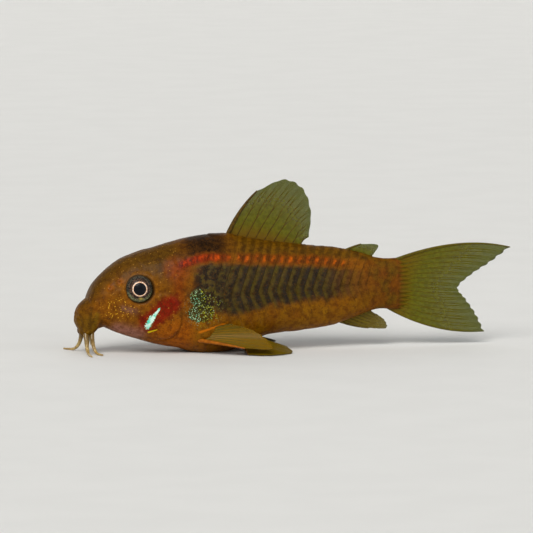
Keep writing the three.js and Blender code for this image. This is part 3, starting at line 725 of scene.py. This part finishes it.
ring_count = len(stations)
points = skin.reshape(-1, 3)
tail_middle = np.array([LENGTH + TAIL_SHEATH, 0, float(np.mean(section_at(LENGTH)[:2]))])
nose_tip = skin[0].mean(0)
points = np.vstack([points, nose_tip, tail_middle])
faces = list(grid_faces(ring_count, SIDES, closed=True)[:, ::-1])
last_ring = (ring_count - 1) * SIDES
for column in range(SIDES):
    beside = (column + 1) % SIDES
    faces.append((len(points) - 2, beside, column))
    faces.append((len(points) - 1, last_ring + column, last_ring + beside))
skin_piece = mesh_piece("skin", to_frame(points), faces, catfish_skin)
for name, values in MASKS.items():
    poles = [float(values[0].mean()), float(values[-1].mean())]
    set_mask(skin_piece, name, np.concatenate([np.asarray(values, float).ravel(), poles]))
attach(skin_piece, "root")
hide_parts("head", "trunk", "tail_stem", "lips", "gill_cover_left", "gill_cover_right")

# The eyes. A wet ball is set into each socket, which the skin closes round: a black pupil, a thin bright
# ring, and a dark speckled iris that turns slate and pale at its rim, with a gold fleck low down.
EYE_RADIUS = 0.05 * LENGTH - 0.05
EYE_SINK = 1.9
EYE_TURN = (-0.095, 0.99, 0.075)
PUPIL = 1.16
PALE_RING = 1.4
EYE_RINGS = 40
EYE_ROUND = 64
EYE_POLE = 0.02  # the angle from the axis at which the first and the last ring lie
ball = Finish("eyeball")
out = ball.mask("from_pupil")
low = ball.mask("low")
specks = ball.cloud(0.24 * MM, 4)
iris = ball.mix(ball.ramp(specks, 0.44, 0.6), (24, 17, 14), (92, 66, 50))
rim = ball.ramp(out, 1.75, 2.3)
slate = ball.mix(ball.ramp(specks, 0.45, 0.6), (22, 28, 27), (78, 80, 66))
pale = ball.mix(ball.ramp(specks, 0.4, 0.6), (70, 82, 58), (156, 154, 112))
iris = ball.mix(ball.times(rim, 0.75), iris, slate)
iris = ball.mix(ball.times(rim, low), iris, pale)
iris = ball.mix(ball.mask("gold_fleck"), iris, (206, 184, 84))
iris = ball.mix(ball.ramp(out, 2.28, 2.5, 0, 0.8), iris, (62, 42, 12))
wobble = ball.sum("ADD", out, ball.times(ball.sum("SUBTRACT", specks, 0.5), 0.22))
ring_tone = ball.mix(ball.ramp(specks, 0.38, 0.62), (255, 224, 200), (232, 176, 132))
in_ring = ball.ramp(wobble, PALE_RING + 0.06, PALE_RING - 0.08)
in_ring = ball.times(ball.ramp(out, PUPIL, PUPIL + 0.05), in_ring)
iris = ball.mix(in_ring, iris, ring_tone)
iris = ball.mix(ball.ramp(out, PUPIL + 0.04, PUPIL), iris, (5, 6, 14))
eyeball = ball.surface(Base_Color=iris, Roughness=0.45, Specular_IOR_Level=0.1,
                       Coat_Weight=0.35, Coat_Roughness=0.04, Coat_IOR=1.33)


def ball_points(centre, axis):
    """The ball's points in rings from the pupil to the back, and how far each lies from the pupil's axis."""
    axis = Vector(axis).normalized()
    across = axis.orthogonal().normalized()
    upward = axis.cross(across)
    points, away = [], []
    for turn in np.linspace(EYE_POLE, math.pi - EYE_POLE, EYE_RINGS):
        for around in np.linspace(0, 2 * math.pi, EYE_ROUND, endpoint=False):
            spread = across * math.cos(around) + upward * math.sin(around)
            out_from = np.array(axis * math.cos(turn) + spread * math.sin(turn))
            points.append(np.array(centre) + EYE_RADIUS * out_from)
            away.append(EYE_RADIUS * math.sin(turn) if turn < math.pi / 2 else EYE_RADIUS)
    return points, away


eye_faces = list(grid_faces(EYE_RINGS, EYE_ROUND, closed=True))
eye_faces.append(range(EYE_ROUND)[::-1])
eye_faces.append(range((EYE_RINGS - 1) * EYE_ROUND, EYE_RINGS * EYE_ROUND))
eye_out = float(skin_at(EYE[0], EYE[2])) - EYE_SINK
for side_name, side_sign in (("left", -1), ("right", 1)):
    centre = (EYE[0], side_sign * eye_out, EYE[2])
    turn = (EYE_TURN[0], side_sign * EYE_TURN[1], EYE_TURN[2])
    points, away = ball_points(centre, turn)
    eye_piece = mesh_piece(f"eyeball_{side_name}", to_frame(points), eye_faces, eyeball)
    set_mask(eye_piece, "from_pupil", away)
    set_mask(eye_piece, "low", [float(smooth(0.2, -1.6, point[2] - EYE[2])) for point in points])
    fleck = [float(hump(point[0], EYE[0], 0.34) * hump(point[2], EYE[2] - 1.66, 0.17)) for point in points]
    set_mask(eye_piece, "gold_fleck", fleck)
    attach(eye_piece, "root")
    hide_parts(f"eye_{side_name}")

# Fins. Each is a clear sheet of skin on jointed rays that fork towards the margin, behind a stiffer first ray
# or spine. Root and margin are the solids' own, sunk a little into the body, and the rays are tubes that
# follow the sheet.
ROOT_SINK = 0.9


def through(points):
    """The curve through points that the solids' fins use: a centripetal Catmull-Rom curve, from 0 to 1."""
    points = np.array(points, float)
    before = 2 * points[0] - points[1]
    after = 2 * points[-1] - points[-2]
    padded = np.vstack([before, points, after])

    def curve(share):
        place = share * (len(points) - 1)
        i = min(int(place), len(points) - 2)
        t = place - i
        p0, p1, p2, p3 = padded[i:i + 4]
        d0, d1, d2 = (np.sum((b - a) ** 2) ** 0.25 for a, b in ((p0, p1), (p1, p2), (p2, p3)))
        m1 = ((p1 - p0) / d0 - (p2 - p0) / (d0 + d1) + (p2 - p1) / d1) * d1
        m2 = ((p2 - p1) / d1 - (p3 - p1) / (d1 + d2) + (p3 - p2) / d2) * d1
        return (p1 + m1 * t + (3 * (p2 - p1) - 2 * m1 - m2) * t ** 2
                + (2 * (p1 - p2) + m1 + m2) * t ** 3)
    return curve


# Points in millimetres from places given as shares of the length: along the back or the belly, on a flank, in
# the fish's middle plane, or out to one side of it.
def on_line(line, sink, places):
    return [(x * LENGTH, 0, float(line(x * LENGTH)) + sink) for x in places]


def on_flank(sign, places):
    scaled = [(x * LENGTH, z * LENGTH) for x, z in places]
    return [(x, sign * (float(skin_at(x, z)) - ROOT_SINK), z) for x, z in scaled]


def in_middle(places):
    return [(x * LENGTH, 0, z * LENGTH) for x, z in places]


def to_side(sign, places):
    return [(x * LENGTH, sign * y * LENGTH, z * LENGTH) for x, y, z in places]


tail_top, tail_bottom = (float(v) for v in section_at(LENGTH)[:2])
tail_in = LENGTH - ROOT_SINK / 2
FINS = {
    "dorsal_fin": {
        "root": on_line(back_at, -ROOT_SINK, [0.453, 0.567, 0.687]),
        "edge": in_middle([(0.553, 0.498), (0.643, 0.533), (0.7, 0.503), (0.725, 0.43), (0.717, 0.348)]),
        "bow": lambda s: (-0.9 + 0.3 * s, 0, 0.9 - 0.3 * s),
        "rays": 8, "spine": 0.5, "forks": 2, "dark": 0.8, "amber": 0, "warm": 0,
    },
    "adipose_fin": {
        "root": on_line(back_at, -ROOT_SINK, [0.82, 0.867, 0.913]),
        "edge": in_middle([(0.885, 0.323), (0.942, 0.318), (0.925, 0.29)]),
        "bow": lambda s: (-0.2, 0, 0.2),
        "rays": 1, "spine": 0.34, "forks": 0, "dark": 0.3, "amber": 0, "warm": 0,
    },
    "tail_fin": {
        "root": [(tail_in, 0, tail_top - 0.4), (tail_in, 0, (tail_top + tail_bottom) / 2),
                 (tail_in - 2, 0, float(belly_at(tail_in - 2)) + 0.4)],
        "edge": in_middle([(1.37, 0.302), (1.305, 0.256), (1.243, 0.218), (1.2, 0.177), (1.225, 0.143),
                           (1.26, 0.093), (1.287, 0.038)]),
        "bow": lambda s: (1.1 * (1 - s) ** 2, 0, 3.5 * (1 - s) ** 3 - 3.3 * s ** 3),
        "rays": 15, "spine": 0.34, "forks": 2, "dark": 0.1, "amber": 0, "warm": 0,
    },
    "anal_fin": {
        "root": on_line(belly_at, ROOT_SINK, [0.8, 0.85, 0.907]),
        "edge": in_middle([(0.91, 0.057), (0.97, 0.057), (0.963, 0.08), (0.937, 0.1)]),
        "bow": lambda s: (-0.3, 0, -0.5),
        "rays": 7, "spine": 0.3, "forks": 1, "dark": 0.4, "amber": 0, "warm": 0.3,
    },
}
for side_name, sign in (("left", -1), ("right", 1)):
    FINS[f"pectoral_fin_{side_name}"] = {
        "root": on_flank(sign, [(0.327, 0.045), (0.353, 0.07)]),
        "edge": to_side(sign, [(0.473, 0.19, 0.025), (0.56, 0.215, 0.025), (0.547, 0.183, 0.05),
                               (0.507, 0.157, 0.077), (0.44, 0.137, 0.097)]),
        "bow": lambda s, sign=sign: (0, sign * 0.5 * (1 - s), 0.2),
        "face": (-0.31, sign * 0.8, 0.52),
        "rays": 8, "spine": 0.44, "forks": 2, "dark": 0.2, "amber": 0.9, "warm": 0.7,
    }
    FINS[f"pelvic_fin_{side_name}"] = {
        "root": on_flank(sign, [(0.49, 0.03), (0.533, 0.04)]),
        "edge": to_side(sign, [(0.487, 0.177, 0.003), (0.537, 0.207, 0.003), (0.593, 0.193, 0.003),
                               (0.637, 0.143, 0.003), (0.63, 0.083, 0.015)]),
        "bow": lambda s: (0, 0, 0.25),
        "face": (0.1, sign * 0.25, 1),
        "rays": 6, "spine": 0.3, "forks": 2, "dark": 0.3, "amber": 0.35, "warm": 0.45,
    }

sheet = Finish("fin_skin")
veil = sheet.cloud(0.7 * MM, 3)
web_tone = sheet.mix(sheet.ramp(veil, 0.35, 0.65), (98, 96, 5), (84, 80, 4))
web_tone = sheet.mix(sheet.ramp(sheet.mask("out"), 0.34, 0.0), web_tone, (108, 76, 4))
web_tone = sheet.mix(sheet.ramp(sheet.mask("out"), 0.6, 1.0, 0, 0.45), web_tone, (74, 88, 6))
web_tone = sheet.mix(sheet.mask("warm"), web_tone, (134, 90, 4))
fin_skin = sheet.surface(
    Base_Color=web_tone, Roughness=0.45, Specular_IOR_Level=0.08, Coat_Weight=0.07, Coat_Roughness=0.2,
    Alpha=sheet.ramp(sheet.mask("out"), 0.1, 0.95, 0.95, 0.76),
    Normal=sheet.bump(veil, 0.03 * MM),
)
bone = Finish("fin_rays")
joints = bone.cloud(0.5 * MM, 2)
ray_tone = bone.mix(bone.ramp(joints, 0.35, 0.65), (94, 86, 6), (84, 70, 5))
brown = bone.mix(bone.ramp(joints, 0.35, 0.65), (86, 56, 10), (58, 36, 6))
amber = bone.mix(bone.ramp(joints, 0.3, 0.7), (176, 98, 6), (140, 74, 4))
ray_tone = bone.mix(bone.mask("dark"), ray_tone, brown)
ray_tone = bone.mix(bone.mask("amber"), ray_tone, amber)
fin_rays = bone.surface(
    Base_Color=ray_tone, Roughness=0.45, Specular_IOR_Level=0.1, Coat_Weight=0.07, Coat_Roughness=0.2,
    Normal=bone.bump(joints, 0.03 * MM),
)


def tube_tree(name):
    """Geometry nodes that turn strings of edges into closed round tubes, sized by their radius attribute."""
    tree = bpy.data.node_groups.new(name, "GeometryNodeTree")
    for socket, kind in (("Geometry", "Geometry"), ("Sides", "Int"), ("Material", "Material")):
        tree.interface.new_socket(socket, in_out="INPUT", socket_type="NodeSocket" + kind)
    tree.interface.new_socket("Geometry", in_out="OUTPUT", socket_type="NodeSocketGeometry")
    add, join = tree.nodes.new, tree.links.new
    given = add("NodeGroupInput")
    strings = add("GeometryNodeMeshToCurve")
    thickness = add("GeometryNodeInputNamedAttribute")
    thickness.data_type = "FLOAT"
    thickness.inputs["Name"].default_value = "radius"
    sized = add("GeometryNodeSetCurveRadius")
    circle = add("GeometryNodeCurvePrimitiveCircle")
    circle.inputs["Radius"].default_value = 1
    tube = add("GeometryNodeCurveToMesh")
    tube.inputs["Fill Caps"].default_value = True
    smoothed = add("GeometryNodeSetShadeSmooth")
    real = add("GeometryNodeRealizeInstances")
    coloured = add("GeometryNodeSetMaterial")
    result = add("NodeGroupOutput")
    chain = [given, strings, sized, tube, smoothed, real, coloured, result]
    for earlier, later in zip(chain, chain[1:]):
        join(earlier.outputs[0], later.inputs[0])
    join(thickness.outputs["Attribute"], sized.inputs["Radius"])
    join(given.outputs["Sides"], circle.inputs["Resolution"])
    join(circle.outputs["Curve"], tube.inputs["Profile Curve"])
    join(add("GeometryNodeInputRadius").outputs[0], tube.inputs["Scale"])
    join(given.outputs["Material"], coloured.inputs["Material"])
    return tree


tubes = tube_tree("tapering_tubes")


def tube_piece(name, strings, material, sides):
    """One piece from strings of points in millimetres behind the snout, each a list of (point, radius)."""
    points, radii, edges = [], [], []
    for string in strings:
        first = len(points)
        points += [point for point, _ in string]
        radii += [radius * MM for _, radius in string]
        edges += [(first + i, first + i + 1) for i in range(len(string) - 1)]
    wire = bpy.data.meshes.new(name + "_wire")
    wire.from_pydata([tuple(map(float, p)) for p in to_frame(points)], edges, [])
    wire.attributes.new("radius", "FLOAT", "POINT").data.foreach_set("value", radii)
    piece = bpy.data.objects.new(name, wire)
    bpy.context.scene.collection.objects.link(piece)
    modifier = piece.modifiers.new("tubes", "NODES")
    modifier.node_group = tubes
    sockets = {item.name: item.identifier for item in tubes.interface.items_tree if item.in_out == "INPUT"}
    modifier[sockets["Sides"]] = sides
    modifier[sockets["Material"]] = material
    evaluated = piece.evaluated_get(bpy.context.evaluated_depsgraph_get())
    solid_mesh = bpy.data.meshes.new_from_object(evaluated)
    piece.modifiers.clear()
    piece.data = solid_mesh
    bpy.data.meshes.remove(wire)
    return piece


WEB_THICK = 0.16
WEB_THINNING = 0.6  # the share of its thickness that the web has lost at the margin
WEB_REACH = 0.99
MARGIN_DIP = 0.018  # how far the web draws back between two rays, as a share of their length
WEB_ROWS = 34
WEB_COLUMNS = 24  # at the least, with 8 to a ray
RAY_BASE = 0.145
RAY_TIP = 0.035
RAY_REACH = 0.985
RAY_STEPS = 30
RAY_SIDES = 8
SPINE_TAPER = 0.7
BRANCH_THICK = 0.9
BRANCH_STEPS = 18
FIRST_FORK = (0.4, 0.62)  # where a ray starts to part and where it has parted, from 0 at the root to 1
SECOND_FORK = (0.66, 0.9)
FORK_GAP = 0.2
FORK_STAGGER = 0.09
FAN = 0.62
JOINT_LENGTH = 0.75
JOINT_DEPTH = 0.28
for fin_name, fin in FINS.items():
    root_curve, edge_curve = through(fin["root"]), through(fin["edge"])
    face = np.array(fin.get("face", (0, 1, 0)), float)
    face /= np.linalg.norm(face)

    def on_fin(s, t):
        bow = np.array(fin["bow"](s), float)
        place = root_curve(s) * (1 - t) + edge_curve(s) * t + bow * 2 * t * (1 - t)
        place[2] = max(place[2], WEB_THICK / 2)
        return place

    rays = fin["rays"]
    columns = max(WEB_COLUMNS, rays * 8)
    front, rear, out_values = [], [], []
    for row in range(WEB_ROWS):
        for column in range(columns + 1):
            s = column / columns
            between = abs(math.sin(math.pi * s * rays))
            t = row / (WEB_ROWS - 1) * (WEB_REACH - MARGIN_DIP * between ** 2)
            middle_point = on_fin(s, t)
            half_thick = WEB_THICK / 2 * (1 - WEB_THINNING * t)
            front.append(middle_point + face * half_thick)
            rear.append(middle_point - face * half_thick)
            out_values.append(t)
    count = len(front)
    width = columns + 1
    one_side = grid_faces(WEB_ROWS, width)
    numbers = np.arange(count).reshape(WEB_ROWS, width)
    rim = [*numbers[0], *numbers[1:, -1], *numbers[-1, -2::-1], *numbers[-2:0:-1, 0]]
    faces = [*one_side, *(one_side[:, ::-1] + count)]
    faces += [(a, a + count, b + count, b) for a, b in zip(rim, rim[1:] + rim[:1])]
    web = mesh_piece(fin_name + "_web", to_frame(front + rear), faces, fin_skin)
    set_mask(web, "out", out_values * 2)
    set_mask(web, "warm", [fin["warm"]] * len(out_values) * 2)

    strings = []
    spacing = 1 / rays
    long_way = np.linalg.norm(on_fin(0.5, 1) - on_fin(0.5, 0))
    for ray in range(rays + 1):
        tips = 2 ** fin["forks"] if ray else 1
        ends = [(k + 0.5) / tips - 0.5 for k in range(tips)]
        later = FORK_STAGGER * math.sin(2.4 * ray)  # no two neighbours fork at the same distance out
        for spread in ends:
            branch = spread != ends[0]
            fork = FIRST_FORK if spread == ends[-1] else SECOND_FORK
            start = fork[0] + later if branch else 0.0
            gap = np.sign(spread) * FORK_GAP
            string = []
            for t in np.linspace(start, 1, BRANCH_STEPS if branch else RAY_STEPS):
                shift = gap * smooth(FIRST_FORK[0] + later, FIRST_FORK[1] + later, t)
                if fin["forks"] > 1:
                    shift += (spread * FAN - gap) * smooth(SECOND_FORK[0] + later, SECOND_FORK[1], t)
                s = min(max(ray * spacing + shift * spacing, 0.0), 1.0)
                if ray:
                    wave = abs(math.sin(math.pi * t * long_way / JOINT_LENGTH))
                    radius = RAY_BASE + (RAY_TIP - RAY_BASE) * t
                    radius *= 1 - JOINT_DEPTH * (1 - min(1, wave * 3)) * smooth(0.2, 0.35, t)
                else:
                    radius = fin["spine"] * (1 - SPINE_TAPER * t)
                radius = float(radius) * (BRANCH_THICK if branch else 1)
                string.append((on_fin(s, t * (RAY_REACH if ray else WEB_REACH)), radius))
            strings.append(string)
    ray_piece = tube_piece(fin_name + "_rays", strings, fin_rays, RAY_SIDES)
    spine_points = RAY_STEPS * RAY_SIDES
    corners = len(ray_piece.data.vertices)
    set_mask(ray_piece, "dark", [fin["dark"]] * corners)
    set_mask(ray_piece, "amber", [fin["amber"] * (i < spine_points) for i in range(corners)])
    for piece in (web, ray_piece):
        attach(piece, "root")
        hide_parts(fin_name)

# Feelers. Two soft pale feelers hang from each corner of the mouth and lie with their tips on the floor, and
# two short stubs hang from the chin. All are fleshy and grow out of the lips.
FEELER_THICK = 0.85
FEELER_TIP = 0.3
FEELER_STEPS = 36
FEELER_SIDES = 12
RIPPLES = 60
RIPPLE_DEPTH = 0.04
LIE = 0.2
ROOT_BACK = (0.6, 1.0)  # how far in and up inside the lip a feeler starts
ROOT_RADIUS = 0.5
FEELERS = {
    "barbel_long_left": {"side": -1, "root": (0, 2.7, 2.75), "reach": 4.6, "sweep": 0.2},
    "barbel_long_right": {"side": 1, "root": (0, 2.7, 2.75), "reach": 4, "sweep": -2.59},
    "barbel_short_left": {"side": -1, "root": (1.2, 2.3, 2.9), "reach": 3.2, "sweep": 1.4},
    "barbel_short_right": {"side": 1, "root": (1.2, 2.3, 2.9), "reach": 3.2, "sweep": 0.2},
}
straw = Finish("feeler_skin")
streaky = straw.cloud(0.5 * MM, 3)
straw_tone = straw.mix(straw.ramp(streaky, 0.35, 0.65), (186, 158, 92), (146, 114, 52))
from_floor = straw.node("ShaderNodeSeparateXYZ", Vector=straw.place).outputs["Z"]
straw_tone = straw.mix(straw.ramp(from_floor, 0.8 * MM, 3.4 * MM), straw_tone, (112, 84, 12))
feeler_skin = straw.surface(
    Base_Color=straw_tone,
    Roughness=0.35, Coat_Weight=0.5, Coat_Roughness=0.12, Subsurface_Weight=0.1,
    Subsurface_Scale=0.3 * MM, Normal=straw.bump(streaky, 0.03 * MM),
)
FEELER_COURSE = [(0, 0), (0.1, 0.45), (0.32, 0.86), (0.64, 1), (1, 1)]
for feeler_name, feeler in FEELERS.items():
    fx, fy, fz = feeler["root"]
    sweep, reach, sign = feeler["sweep"], feeler["reach"], feeler["side"]
    path = through([(fx + sweep * out, sign * (fy + reach * out), fz - (fz - LIE) * down)
                    for out, down in FEELER_COURSE])
    string = [((fx, sign * (fy - ROOT_BACK[0]), fz + ROOT_BACK[1]), ROOT_RADIUS)]
    for t in np.linspace(0, 1, FEELER_STEPS):
        radius = (FEELER_THICK + (FEELER_TIP - FEELER_THICK) * t) / 2
        place = path(t)
        place[2] = max(place[2], 1.05 * radius)
        string.append((place, radius * (1 + RIPPLE_DEPTH * math.sin(RIPPLES * t))))
    piece = tube_piece(feeler_name.replace("barbel", "feeler"), [string], feeler_skin, FEELER_SIDES)
    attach(piece, "root")
    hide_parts(feeler_name)
CHIN_STUB = {"x": 1.4, "y": 1, "length": 2.2, "lean": 0.3, "splay": 0.7, "thick": 0.6, "taper": 0.5}
CHIN_TOP = 0.052 * LENGTH + 0.5
stubs = []
for sign in (-1, 1):
    stub = []
    for t in np.linspace(0, 1, 12):
        place = (CHIN_STUB["x"] + CHIN_STUB["lean"] * t,
                 sign * (CHIN_STUB["y"] + CHIN_STUB["splay"] * t * t),
                 CHIN_TOP - CHIN_STUB["length"] * t)
        stub.append((place, CHIN_STUB["thick"] / 2 * (1 - CHIN_STUB["taper"] * t)))
    stubs.append(stub)
chin = tube_piece("chin_feelers", stubs, feeler_skin, 10)
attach(chin, "root")
